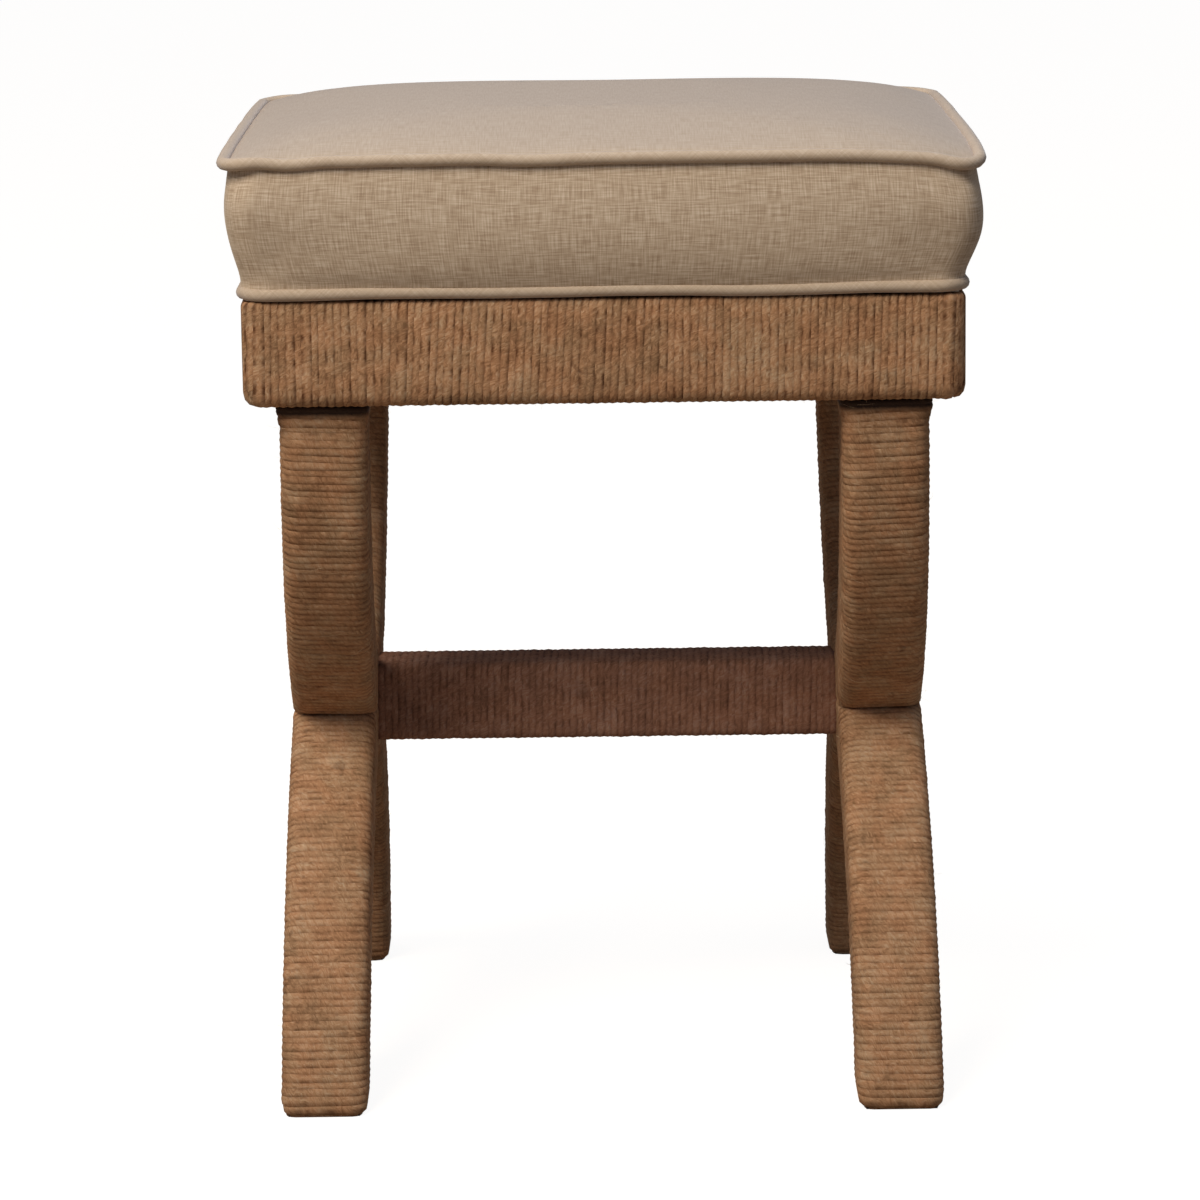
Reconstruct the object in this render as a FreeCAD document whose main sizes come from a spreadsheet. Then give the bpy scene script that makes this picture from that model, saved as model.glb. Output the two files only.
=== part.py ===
import FreeCAD, Part
import Sketcher
import os

# Stool with two curved X ends, a box apron and a piped box cushion.
# Millimetres, +Z up, front towards -Y, origin on the floor under the middle of the seat.

doc = FreeCAD.newDocument("WoundStool")
sheet = doc.addObject("Spreadsheet::Sheet", "Sizes")
V = FreeCAD.Vector


class Dim:
    """A size that carries its sheet expression and its present number."""

    def __init__(self, text, value):
        self.text, self.value = text, value

    def __add__(self, other):
        other = as_dim(other)
        return Dim(f"({self.text} + {other.text})", self.value + other.value)

    def __sub__(self, other):
        other = as_dim(other)
        return Dim(f"({self.text} - {other.text})", self.value - other.value)

    def __mul__(self, other):
        other = as_dim(other)
        return Dim(f"({self.text} * {other.text})", self.value * other.value)

    def __truediv__(self, other):
        other = as_dim(other)
        return Dim(f"({self.text} / {other.text})", self.value / other.value)

    def __neg__(self):
        return Dim(f"(-1 * {self.text})", -self.value)

    def __radd__(self, other):
        return as_dim(other) + self

    def __rsub__(self, other):
        return as_dim(other) - self

    def __rmul__(self, other):
        return as_dim(other) * self


def as_dim(value):
    return value if isinstance(value, Dim) else Dim(repr(float(value)), float(value))


def sin(angle):
    return Dim(f"sin({angle.text})", FreeCAD.Rotation(V(0, 0, 1), angle.value).multVec(V(1, 0, 0)).y)


def cos(angle):
    return Dim(f"cos({angle.text})", FreeCAD.Rotation(V(0, 0, 1), angle.value).multVec(V(1, 0, 0)).x)


rows = [1]


def size(alias, value, note):
    row = rows[0]
    sheet.set(f"A{row}", note)
    sheet.set(f"B{row}", str(value))
    sheet.setAlias(f"B{row}", alias)
    rows[0] += 1
    return Dim(f"Sizes.{alias}", float(value))


apron_width = size("apron_width", 362, "apron over its twine, left to right")
apron_depth = size("apron_depth", 324, "apron over its twine, front to back")
apron_base = size("apron_base", 366, "underside of the apron above the floor")
apron_height = size("apron_height", 54, "apron over its twine, top to bottom")
apron_corner = size("apron_corner", 10, "radius of the apron's upright corners")
apron_edge = size("apron_edge", 7, "radius of the apron's long lower edges")
apron_brow = size("apron_brow", 2.8, "radius of the apron's long upper edges")
apron_wall = size("apron_wall", 30, "rail with its twine, outside to inside")
twine = size("twine", 3.8, "thickness of the wound twine")
slip = size("slip", 0.2, "clearance between neighbouring pieces")
leg_inset = size("leg_inset", 14, "outer side of an X end inside the apron's side")
leg_width = size("leg_width", 44.6, "leg with its twine, side to side")
leg_thick = size("leg_thick", 44, "leg with its twine, across its curve")
leg_edge = size("leg_edge", 8, "radius of the wound leg's long edges")
cross_height = size("cross_height", 184, "middle of the crossing above the floor")
cross_angle = size("cross_angle", 68, "legs off upright at the crossing")
top_setback = size("top_setback", 31, "leg's middle under the apron, behind the apron's face")
foot_lean = size("foot_lean", 10, "legs off upright at the floor")
leg_splay = size("leg_splay", 1.1, "X ends off upright, feet outwards")
arm_spare = size("arm_spare", 25, "arms swept on past upright before they are cut to length")
bar_size = size("bar_size", 42, "stretcher with its twine, square")
bar_edge = size("bar_edge", 5, "radius of the wound stretcher's edges")
bearer_width = size("bearer_width", 40, "bearer over the leg tops, side to side")
screw_shank = size("screw_shank", 2.4, "radius of a wood screw")
screw_head = size("screw_head", 4.8, "radius of a wood screw's head")
screw_play = size("screw_play", 0.1, "clearance round screws and dowels")
long_screw = size("long_screw", 70, "length of the screws into the leg tops")
middle_screw = size("middle_screw", 60, "length of the screws into the bearers' ends")
leg_bite = size("leg_bite", 35, "depth of a long screw in the leg")
board_bite = size("board_bite", 8, "depth of a seat screw in the board")
seat_screw = size("seat_screw", 40, "length of a seat screw")
dowel_radius = size("dowel_radius", 4, "radius of a dowel")
dowel_length = size("dowel_length", 36, "length of a rail dowel")
bar_dowel = size("bar_dowel", 30, "length of a stretcher dowel")
dowel_step = size("dowel_step", 10, "stretcher dowels on either side of the bolt")
bolt_radius = size("bolt_radius", 3, "radius of the stretcher bolt")
bolt_length = size("bolt_length", 80, "length of the stretcher bolt")
bolt_head = size("bolt_head", 4, "height of the stretcher bolt's head")
nut_radius = size("nut_radius", 5, "radius of a barrel nut")
nut_length = size("nut_length", 22, "length of a barrel nut")
nut_reach = size("nut_reach", 38, "barrel nut from the end of the stretcher")
board_thick = size("board_thick", 12, "seat board")
piping_radius = size("piping_radius", 3.25, "radius of the piping")
piping_low = size("piping_low", 3.8, "middle of the lower piping above the apron")
piping_high = size("piping_high", 70.8, "middle of the upper piping above the apron")
crown = size("crown", 16.4, "crown of the top above the upper piping")
low_inset = size("low_inset", 3, "lower piping outside the apron")
high_inset = size("high_inset", 10, "upper piping outside the apron")
bulge = size("bulge", 8.4, "fullest part of the boxing outside the apron")
pad_corner = size("pad_corner", 15, "corner radius of the cushion in plan")
cloth = size("cloth", 1.4, "cover cloth with its lining")
doc.recompute()

apron_top = apron_base + apron_height
inset = twine + slip
half_w, half_d = apron_width / 2, apron_depth / 2
leg_outer = half_w - leg_inset
top_reach = half_d - top_setback
low_seam, high_seam = apron_top + piping_low, apron_top + piping_high


def bind(obj, prop, value):
    """Sets a property through the sheet."""
    obj.setExpression(prop, as_dim(value).text)


def place(obj, x, y, z):
    for axis, value in zip("xyz", (x, y, z)):
        bind(obj, f"Placement.Base.{axis}", value)


def box(name, low, high):
    obj = doc.addObject("Part::Box", name)
    for prop, a, b in zip(("Length", "Width", "Height"), low, high):
        bind(obj, prop, as_dim(b) - a)
    place(obj, *low)
    return obj


TURNS = {"x": (V(0, 1, 0), 90), "y": (V(1, 0, 0), -90), "z": (V(0, 0, 1), 0),
         "-x": (V(0, 1, 0), -90), "-y": (V(1, 0, 0), 90), "-z": (V(1, 0, 0), 180)}


def rod(name, start, axis, radius, length):
    """A cylinder from start along an axis."""
    obj = doc.addObject("Part::Cylinder", name)
    obj.Placement = FreeCAD.Placement(V(0, 0, 0), FreeCAD.Rotation(*TURNS[axis]))
    bind(obj, "Radius", radius)
    bind(obj, "Height", length)
    place(obj, *start)
    return obj


def join(name, pieces):
    obj = doc.addObject("Part::MultiFuse", name)
    obj.Shapes = pieces
    return obj


def group(name, pieces):
    obj = doc.addObject("Part::Compound", name)
    obj.Links = pieces
    return obj


def cut(name, base, tools):
    obj = doc.addObject("Part::Cut", name)
    obj.Base = base
    obj.Tool = tools[0] if len(tools) == 1 else group(name + "_tools", tools)
    return obj


def common(name, base, tool):
    obj = doc.addObject("Part::Common", name)
    obj.Base, obj.Tool = base, tool
    return obj


def screw(name, start, axis, length, grow=0.0, sink=0.0):
    """A countersunk wood screw, or with grow its hole, with sink the counterbore behind its head."""
    head = doc.addObject("Part::Cone", name + "_head")
    head.Placement = FreeCAD.Placement(V(0, 0, 0), FreeCAD.Rotation(*TURNS[axis]))
    bind(head, "Radius1", screw_head + grow)
    bind(head, "Radius2", screw_shank + grow)
    bind(head, "Height", screw_head - screw_shank)
    place(head, *start)
    pieces = [head, rod(name + "_shank", start, axis, screw_shank + grow, as_dim(length) + grow)]
    if sink:
        back = {"x": "-x", "-x": "x", "y": "-y", "-y": "y", "z": "-z", "-z": "z"}[axis]
        pieces.append(rod(name + "_sink", start, back, screw_head + grow, sink))
    return join(name, pieces)


def plane(body, role):
    return next(f for f in body.Origin.OriginFeatures if f.Role == role)


def sketch_on(body, name, role, offset=0):
    sketch = body.newObject("Sketcher::SketchObject", name)
    sketch.AttachmentSupport = [(plane(body, role), "")]
    sketch.MapMode = "FlatFace"
    bind(sketch, "AttachmentOffset.Base.z", offset)
    return sketch


def rectangle(sketch, x0, x1, y0, y1, radius=None):
    """A closed rectangle, with rounded corners where a radius is given."""
    x0, x1, y0, y1 = (as_dim(v) for v in (x0, x1, y0, y1))
    r = radius.value if radius else 0.0
    a, b, c, d = x0.value, x1.value, y0.value, y1.value
    first = sketch.GeometryCount
    ends = [((a + r, c), (b - r, c)), ((b, c + r), (b, d - r)),
            ((b - r, d), (a + r, d)), ((a, d - r), (a, c + r))]
    for p, q in ends:
        sketch.addGeometry(Part.LineSegment(V(*p, 0), V(*q, 0)), False)
    sides = [first, first + 1, first + 2, first + 3]
    if radius:
        quarter = 1.5707963267948966
        centres = [(b - r, c + r, -1), (b - r, d - r, 0), (a + r, d - r, 1), (a + r, c + r, 2)]
        for x, y, turn in centres:
            circle = Part.Circle(V(x, y, 0), V(0, 0, 1), r)
            sketch.addGeometry(Part.ArcOfCircle(circle, turn * quarter, (turn + 1) * quarter), False)
        for i in range(4):
            arc = first + 4 + i
            sketch.addConstraint(Sketcher.Constraint("Tangent", sides[i], 2, arc, 1))
            sketch.addConstraint(Sketcher.Constraint("Tangent", arc, 2, sides[(i + 1) % 4], 1))
        for i in range(3):
            sketch.addConstraint(Sketcher.Constraint("Equal", first + 4, first + 5 + i))
        number = sketch.addConstraint(Sketcher.Constraint("Radius", first + 4, r))
        bind(sketch, f"Constraints[{number}]", radius)
    else:
        for i in range(4):
            sketch.addConstraint(Sketcher.Constraint("Coincident", sides[i], 2, sides[(i + 1) % 4], 1))
    for i in (0, 2):
        sketch.addConstraint(Sketcher.Constraint("Horizontal", sides[i]))
        sketch.addConstraint(Sketcher.Constraint("Vertical", sides[i + 1]))
    for kind, side, value in (("DistanceX", 3, x0), ("DistanceX", 1, x1),
                              ("DistanceY", 0, y0), ("DistanceY", 2, y1)):
        number = sketch.addConstraint(
            Sketcher.Constraint(kind, -1, 1, sides[side], 1, value.value))
        bind(sketch, f"Constraints[{number}]", value)


def new_body(name):
    return doc.addObject("PartDesign::Body", name)


nodes = {}


def node(obj, label):
    obj.Label = label
    nodes[label] = obj
    return obj


# Apron: one rounded block per layer, hollowed, then parted into four rails.

def ring(name, depth_in):
    """The apron's ring, set in on every side by depth_in."""
    body = new_body(name + "_block")
    plan = sketch_on(body, name + "_plan", "XY_Plane", apron_base + depth_in)
    rectangle(plan, depth_in - half_w, half_w - depth_in, depth_in - half_d, half_d - depth_in,
              apron_corner - depth_in)
    pad = body.newObject("PartDesign::Pad", name + "_pad")
    pad.Profile = plan
    bind(pad, "Length", apron_height - 2 * depth_in)
    doc.recompute()
    last = pad
    for tag, level, radius in (("low", apron_base + depth_in, apron_edge - depth_in),
                               ("high", apron_top - depth_in, apron_brow - depth_in)):
        # Where the twine is thicker than the edge's radius, the timber keeps a square edge.
        if radius.value <= 0:
            continue
        edges = [f"Edge{i + 1}" for i, e in enumerate(last.Shape.Edges)
                 if abs(e.BoundBox.ZMin - level.value) < 0.01 and abs(e.BoundBox.ZMax - level.value) < 0.01]
        fillet = body.newObject("PartDesign::Fillet", f"{name}_{tag}_edges")
        fillet.Base = (last, edges)
        bind(fillet, "Radius", radius)
        doc.recompute()
        last = fillet
    x, y = half_w - apron_wall + depth_in, half_d - apron_wall + depth_in
    hollow = box(name + "_hollow", (-x, -y, apron_base - 1), (x, y, apron_top + 1))
    return cut(name, body, [hollow])


wound_ring = ring("wound_ring", as_dim(0))
core_space = ring("core_space", twine)
timber_ring = ring("timber_ring", inset)
skin = cut("apron_skin", wound_ring, [core_space])

inner_x, inner_y = half_w - apron_wall, half_d - apron_wall
rail_x, rail_y = inner_x + inset, inner_y + inset
bearer_x = inner_x - slip
bearer_y = inner_y - slip
bearer_mid = bearer_x - bearer_width / 2
top_z = apron_base - slip
board_low = apron_top + cloth + slip

core_in, core_out = leg_outer - leg_width + inset, leg_outer - inset
over_leg = (core_in + bearer_x) / 2
levels = (("low", 0.3), ("high", 0.7))

dowels, bearer_screws, leg_screws, seat_screws, side_screws = [], [], [], [], []
dowel_holes, bearer_holes, leg_holes, seat_holes, side_holes = [], [], [], [], []

for sx, side in ((-1, "left"), (1, "right")):
    for sy, end in ((-1, "front"), (1, "rear")):
        tag = f"{side}_{end}"
        into, out = ("y" if sy < 0 else "-y"), ("x" if sx > 0 else "-x")
        for name, share in levels:
            z = apron_base + apron_height * share
            x = sx * (rail_x + half_w - inset) / 2
            middle = rail_y - dowel_length / 2
            dowels.append(rod(f"dowel_{tag}_{name}", (x, sy * (middle + dowel_length), z), into,
                              dowel_radius, dowel_length))
            dowel_holes.append(rod(f"dowel_hole_{tag}_{name}", (x, sy * (middle + dowel_length + slip), z),
                                   into, dowel_radius + screw_play, dowel_length + 2 * slip))
            start = (sx * (bearer_x - bearer_width + screw_head + screw_shank), sy * (half_d - inset), z)
            bearer_screws.append(screw(f"bearer_screw_{tag}_{name}", start, into, middle_screw))
            bearer_holes.append(screw(f"bearer_hole_{tag}_{name}", start, into, middle_screw, screw_play))
        for name, step in (("outer", 1), ("inner", -1)):
            start = (sx * (over_leg + step * (bearer_x - core_in) / 4), sy * (top_reach - leg_thick / 4),
                     top_z - leg_bite + long_screw)
            leg_screws.append(screw(f"leg_screw_{tag}_{name}", start, "-z", long_screw))
            leg_holes.append(screw(f"leg_hole_{tag}_{name}", start, "-z", long_screw, screw_play,
                                   apron_height))
        start = (sx * bearer_mid, sy * half_d * 0.37, board_low + board_bite - seat_screw)
        seat_screws.append(screw(f"seat_screw_{tag}", start, "z", seat_screw))
        seat_holes.append(screw(f"seat_hole_{tag}", start, "z", seat_screw, screw_play, apron_height))
        start = (sx * (bearer_x - bearer_width), sy * half_d * 0.2, apron_base + apron_height / 2)
        length = bearer_width + apron_wall * 0.6
        side_screws.append(screw(f"side_screw_{tag}", start, out, length))
        side_holes.append(screw(f"side_hole_{tag}", start, out, length, screw_play))

far = apron_width
for sy, end in ((-1, "front"), (1, "rear")):
    low, high = sorted((sy * (half_d - inset), sy * rail_y), key=lambda d: d.value)
    zone = box(f"{end}_zone", (-far, low, 0), (far, high, apron_top))
    rail = common(f"{end}_rail_blank", timber_ring, zone)
    holes = [h for h in dowel_holes + bearer_holes if end in h.Name]
    node(cut(f"{end}_rail", rail, holes), f"{end}_rail")

    wedge = doc.addObject("Part::Wedge", f"{end}_mitre")
    wide, narrow = half_w + twine, half_w - apron_wall - 2 * twine
    wide, narrow = (wide, narrow) if sy < 0 else (narrow, wide)
    bind(wedge, "Xmin", -wide)
    bind(wedge, "Xmax", wide)
    bind(wedge, "X2min", -narrow)
    bind(wedge, "X2max", narrow)
    low, high = sorted((sy * (half_d + twine), sy * (half_d - apron_wall - 2 * twine)), key=lambda d: d.value)
    bind(wedge, "Ymin", low)
    bind(wedge, "Ymax", high)
    for prop, value in (("Zmin", apron_base - 5), ("Z2min", apron_base - 5),
                        ("Zmax", apron_top + 5), ("Z2max", apron_top + 5)):
        bind(wedge, prop, value)
    wrap = common(f"{end}_wrap_blank", skin, wedge)
    screws_out = [rod(f"{end}_{side}_wrap_hole_{i}",
                      (sx * (bearer_x - bearer_width + screw_head + screw_shank), sy * (rail_y + slip),
                       apron_base + apron_height * share),
                      "-y" if sy > 0 else "y", screw_shank + slip, inset + 2 * slip)
                  for sx, side in ((-1, "left"), (1, "right")) for i, (_, share) in enumerate(levels)]
    node(cut(f"{end}_rail_winding", wrap, screws_out), f"{end}_rail_winding")

mitres = [doc.getObject("front_mitre"), doc.getObject("rear_mitre")]
side_skin = cut("side_skin", skin, mitres)
for sx, side in ((-1, "left"), (1, "right")):
    low, high = sorted((as_dim(0), sx * far), key=lambda d: d.value)
    zone = box(f"{side}_zone", (low, -rail_y, 0), (high, rail_y, apron_top))
    rail = common(f"{side}_rail_blank", timber_ring, zone)
    holes = [h for h in dowel_holes + side_holes if side in h.Name]
    node(cut(f"{side}_rail", rail, holes), f"{side}_rail")

    zone = box(f"{side}_skin_zone", (low, -far, 0), (high, far, apron_top + 5))
    wrap = common(f"{side}_wrap_blank", side_skin, zone)
    out = "x" if sx > 0 else "-x"
    middle_z = apron_base + apron_height / 2
    holes = [rod(f"{side}_{end}_wrap_hole", (sx * (inner_x - slip), sy * half_d * 0.2, middle_z),
                 out, screw_shank + slip, inset + 2 * slip) for sy, end in ((-1, "front"), (1, "rear"))]
    node(cut(f"{side}_rail_winding", wrap, holes), f"{side}_rail_winding")

    low, high = sorted((sx * bearer_x, sx * (bearer_x - bearer_width)), key=lambda d: d.value)
    blank = box(f"{side}_bearer_blank", (low, -bearer_y, apron_base), (high, bearer_y, apron_top))
    holes = [h for h in bearer_holes + leg_holes + seat_holes + side_holes if side in h.Name]
    node(cut(f"{side}_leg_bearer", blank, holes), f"{side}_leg_bearer")

for label, pieces in (("rail_dowels", dowels), ("bearer_screws", bearer_screws),
                      ("leg_screws", leg_screws), ("seat_screws", seat_screws),
                      ("side_screws", side_screws)):
    node(group(label, pieces), label)

# Legs: every arm is an arc about an axis across the stool; two arms make one S-shaped leg.
# An upper arc leaves the crossing at its angle and ends at its place under the apron.
# A lower arc leaves it at the same angle and meets the floor at its own lean.

arm_rise = apron_base - cross_height
upper_radius = ((top_reach * top_reach + arm_rise * arm_rise)
                / (2 * (arm_rise * sin(cross_angle) - top_reach * cos(cross_angle))))
lower_radius = cross_height / (sin(cross_angle) - sin(foot_lean))


def arm(name, x0, x1, thick, upper, sy, corner=None, hollow=None):
    """One arm of a leg as a swept section; upper or lower, running to the front or the rear."""
    radius = upper_radius if upper else lower_radius
    body = new_body(name)
    section = sketch_on(body, name + "_section", "XZ_Plane")
    rectangle(section, x0, x1, -radius - thick / 2, thick / 2 - radius, corner)
    if hollow:
        rectangle(section, x0 + hollow, x1 - hollow,
                  -radius - thick / 2 + hollow, thick / 2 - radius - hollow)
    turn = body.newObject("PartDesign::Revolution", name + "_sweep")
    turn.Profile = section
    turn.ReferenceAxis = (section, ["H_Axis"])
    bind(turn, "Angle", cross_angle + arm_spare)
    if upper:
        start = 90 - cross_angle if sy > 0 else -90 - arm_spare
    else:
        start = 90 - arm_spare if sy > 0 else -90 - cross_angle
    body.Placement = FreeCAD.Placement(V(0, 0, 0), FreeCAD.Rotation(V(1, 0, 0), start.value))
    bind(body, "Placement.Rotation.Angle", start)
    lift = radius * sin(cross_angle)
    place(body, 0, -sy * radius * cos(cross_angle),
          cross_height + lift if upper else cross_height - lift)
    return body


half_core = leg_thick / 2 - inset
core_mid = (core_in + core_out) / 2
bar_core = bar_size / 2 - inset


def lean(name, piece, sx):
    """A piece of an X end, leant about the middle of the crossing so that the feet stand further out."""
    obj = group(name, [piece])
    turn = -sx * leg_splay
    obj.Placement = FreeCAD.Placement(V(0, 0, 0), FreeCAD.Rotation(V(0, 1, 0), turn.value))
    bind(obj, "Placement.Rotation.Angle", turn)
    x, z = sx * core_mid, cross_height
    place(obj, x - x * cos(turn) - z * sin(turn), 0, z + x * sin(turn) - z * cos(turn))
    return obj


bolts, nuts, bar_dowels = [], [], []
bar_cutters, wrap_cutters = [], []
standing = box("standing", (-far, -far, 0), (far, far, top_z))

for sx, side in ((-1, "left"), (1, "right")):
    inward, outward = ("x", "-x") if sx < 0 else ("-x", "x")
    x0, x1 = sorted((sx * (leg_outer - leg_width), sx * leg_outer), key=lambda d: d.value)
    c0, c1 = sorted((sx * core_in, sx * core_out), key=lambda d: d.value)
    bolt_start = (sx * (core_out - bolt_head - 2), 0, cross_height)
    bolts.append(join(f"{side}_bolt", [
        rod(f"{side}_bolt_shank", bolt_start, inward, bolt_radius, bolt_length),
        rod(f"{side}_bolt_head", bolt_start, outward, bolt_radius * 2, bolt_head)]))
    bolt_hole = [rod(f"{side}_bolt_hole", bolt_start, inward, bolt_radius + slip, bolt_length + 2 * slip),
                 rod(f"{side}_bolt_seat", bolt_start, outward, bolt_radius * 2 + slip, bolt_head + 2 + slip)]
    nut_at = sx * (core_in - nut_reach)
    nut_low = cross_height - nut_length / 2
    nut_blank = rod(f"{side}_nut_blank", (nut_at, 0, nut_low), "z", nut_radius, nut_length)
    nuts.append(cut(f"{side}_nut", nut_blank, [
        rod(f"{side}_nut_bore", (nut_at - nut_radius - 1, 0, cross_height), "x",
            bolt_radius + slip, 2 * nut_radius + 2)]))
    bar_cutters += [bolt_hole[0],
                    rod(f"{side}_nut_hole", (nut_at, 0, cross_height - bar_size), "z",
                        nut_radius + screw_play, bar_size + nut_length / 2 + slip)]
    dowel_cutters = []
    for name, step in (("front", -1), ("rear", 1)):
        tip = core_in + bar_dowel / 2 - slip
        bar_dowels.append(rod(f"{side}_bar_dowel_{name}", (sx * tip, step * dowel_step, cross_height),
                              inward, dowel_radius, bar_dowel))
        dowel_cutters.append(rod(f"{side}_bar_dowel_hole_{name}",
                                 (sx * (tip + slip), step * dowel_step, cross_height),
                                 inward, dowel_radius + screw_play, bar_dowel + 2 * slip))
    bar_cutters += dowel_cutters

    blanks = {}
    for sy, end in ((-1, "front"), (1, "rear")):
        arms = [arm(f"{side}_{end}_upper_core", c0, c1, 2 * half_core, True, sy),
                arm(f"{side}_{end}_lower_core", c0, c1, 2 * half_core, False, -sy)]
        whole = join(f"{side}_{end}_core", arms)
        whole.Refine = True
        blanks[end] = common(f"{side}_{end}_blank", lean(f"{side}_{end}_leant", whole, sx), standing)
    lap = {"front": (sx * core_mid, sx * (core_out + twine)), "rear": (sx * (core_in - twine), sx * core_mid)}
    other = {"front": "rear", "rear": "front"}
    for end in ("front", "rear"):
        low, high = sorted(lap[end], key=lambda d: d.value)
        near_cross = lean(f"{side}_{end}_lap", box(
            f"{side}_{end}_lap_block", (low, -2 * leg_thick, cross_height - 1.5 * leg_thick),
            (high, 2 * leg_thick, cross_height + 1.5 * leg_thick)), sx)
        notch = common(f"{side}_{end}_notch", blanks[other[end]], near_cross)
        holes = [h for h in leg_holes if side in h.Name and end in h.Name]
        holes += bolt_hole + dowel_cutters
        leg = cut(f"{side}_{end}_lapped", blanks[end], [notch])
        node(cut(f"{side}_{end}_leg", leg, holes), f"{side}_{end}_leg")

    for cutters, tag, at in ((bar_cutters, "bar", core_in), (wrap_cutters, "wrap", leg_outer - leg_width)):
        low, high = sorted((sx * (at - slip), sx * far), key=lambda d: d.value)
        cutters.append(lean(f"{side}_{tag}_end", box(
            f"{side}_{tag}_end_block", (low, -leg_thick, cross_height - leg_thick),
            (high, leg_thick, cross_height + leg_thick)), sx))

    reach, gap = inset * 1.5, bar_core + slip
    through = box(f"{side}_bar_gap", (sx * core_in - reach, -gap, cross_height - gap),
                  (sx * core_in + reach, gap, cross_height + gap))
    for sy, end in ((-1, "front"), (1, "rear")):
        for upper, part in ((True, "upper"), (False, "lower")):
            sleeve = arm(f"{side}_{end}_{part}_sleeve", x0, x1, leg_thick, upper, sy, leg_edge, twine)
            low, high = sorted((sy * as_dim(0.1), sy * far), key=lambda d: d.value)
            z0, z1 = (cross_height + 0.1, apron_top) if upper else (-apron_height, cross_height - 0.1)
            quarter = box(f"{side}_{end}_{part}_quarter", (-far, low, z0), (far, high, z1))
            wrap = lean(f"{side}_{end}_{part}_leant", common(f"{side}_{end}_{part}_arm", sleeve, quarter), sx)
            wrap = common(f"{side}_{end}_{part}_cut", wrap, standing)
            label = f"{side}_{end}_{part}_winding"
            node(cut(label, wrap, [through]), label)

# Stretcher between the crossings.

rail_end = core_in + twine
blank = box("stretcher_blank", (-rail_end, -bar_core, cross_height - bar_core),
            (rail_end, bar_core, cross_height + bar_core))
node(cut("stretcher", blank, bar_cutters), "stretcher")
body = new_body("stretcher_wrap")
section = sketch_on(body, "stretcher_section", "YZ_Plane")
half_bar = bar_size / 2
rectangle(section, -half_bar, half_bar, cross_height - half_bar, cross_height + half_bar, bar_edge)
hole = bar_core + slip
rectangle(section, -hole, hole, cross_height - hole, cross_height + hole)
pad = body.newObject("PartDesign::Pad", "stretcher_wrap_pad")
pad.Profile = section
pad.Midplane = True
bind(pad, "Length", 2 * (leg_outer - leg_width + twine))
node(cut("stretcher_winding", body, wrap_cutters), "stretcher_winding")
node(group("stretcher_bolts", bolts), "stretcher_bolts")
node(group("barrel_nuts", nuts), "barrel_nuts")
node(group("stretcher_dowels", bar_dowels), "stretcher_dowels")


# Seat pad: board, foam, cover panels and two rows of piping.

def loft(name, layers, inner=None):
    """A solid through rounded rectangles (height, outside the apron), hollowed by inner layers."""
    body = new_body(name)
    for tag, kind, rows_in in (("skin", "AdditiveLoft", layers), ("core", "SubtractiveLoft", inner)):
        if not rows_in:
            continue
        sketches = []
        for i, (z, out) in enumerate(rows_in):
            sketch = sketch_on(body, f"{name}_{tag}_{i}", "XY_Plane", z)
            x, y = half_w + out, half_d + out
            rectangle(sketch, -x, x, -y, y, pad_corner)
            sketches.append(sketch)
        feature = body.newObject(f"PartDesign::{kind}", f"{name}_{tag}")
        feature.Profile = sketches[0]
        feature.Sections = sketches[1:]
        doc.recompute()
    return body


def piping(label, out, z):
    """A round cord along a rounded rectangle."""
    x, y = half_w + out - piping_radius, half_d + out - piping_radius
    pieces = []
    runs = ((-x + pad_corner, -y, "x", 2 * (x - pad_corner)), (-x + pad_corner, y, "x", 2 * (x - pad_corner)),
            (-x, -y + pad_corner, "y", 2 * (y - pad_corner)), (x, -y + pad_corner, "y", 2 * (y - pad_corner)))
    for i, (px, py, axis, length) in enumerate(runs):
        pieces.append(rod(f"{label}_run_{i}", (px, py, z), axis, piping_radius, length))
    for i, (kx, ky) in enumerate(((1, 1), (-1, 1), (-1, -1), (1, -1))):
        bend = doc.addObject("Part::Torus", f"{label}_bend_{i}")
        bend.Placement = FreeCAD.Placement(V(0, 0, 0), FreeCAD.Rotation(V(0, 0, 1), 90 * i))
        bind(bend, "Radius1", pad_corner)
        bind(bend, "Radius2", piping_radius)
        bend.Angle3 = 90
        place(bend, kx * (x - pad_corner), ky * (y - pad_corner), z)
        pieces.append(bend)
    cord = join(label, pieces)
    cord.Refine = True
    return node(cord, label)


piping("lower_piping", low_inset, low_seam)
piping("upper_piping", high_inset, high_seam)

body = new_body("seat_board")
plan = sketch_on(body, "board_plan", "XY_Plane", board_low)
edge = piping_radius * 2 + 1 - low_inset
rectangle(plan, edge - half_w, half_w - edge, edge - half_d, half_d - edge, pad_corner)
pad = body.newObject("PartDesign::Pad", "board_pad")
pad.Profile = plan
bind(pad, "Length", board_thick)
node(cut("seat_board_drilled", body, seat_holes), "seat_board")

body = new_body("base_cloth")
plan = sketch_on(body, "base_plan", "XY_Plane", apron_top + 0.1)
edge = piping_radius * 2 + slip - low_inset
rectangle(plan, edge - half_w, half_w - edge, edge - half_d, half_d - edge, pad_corner)
pad = body.newObject("PartDesign::Pad", "base_pad")
pad.Profile = plan
bind(pad, "Length", cloth)
node(cut("base_cloth_drilled", body, seat_holes), "base_cloth")

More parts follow.
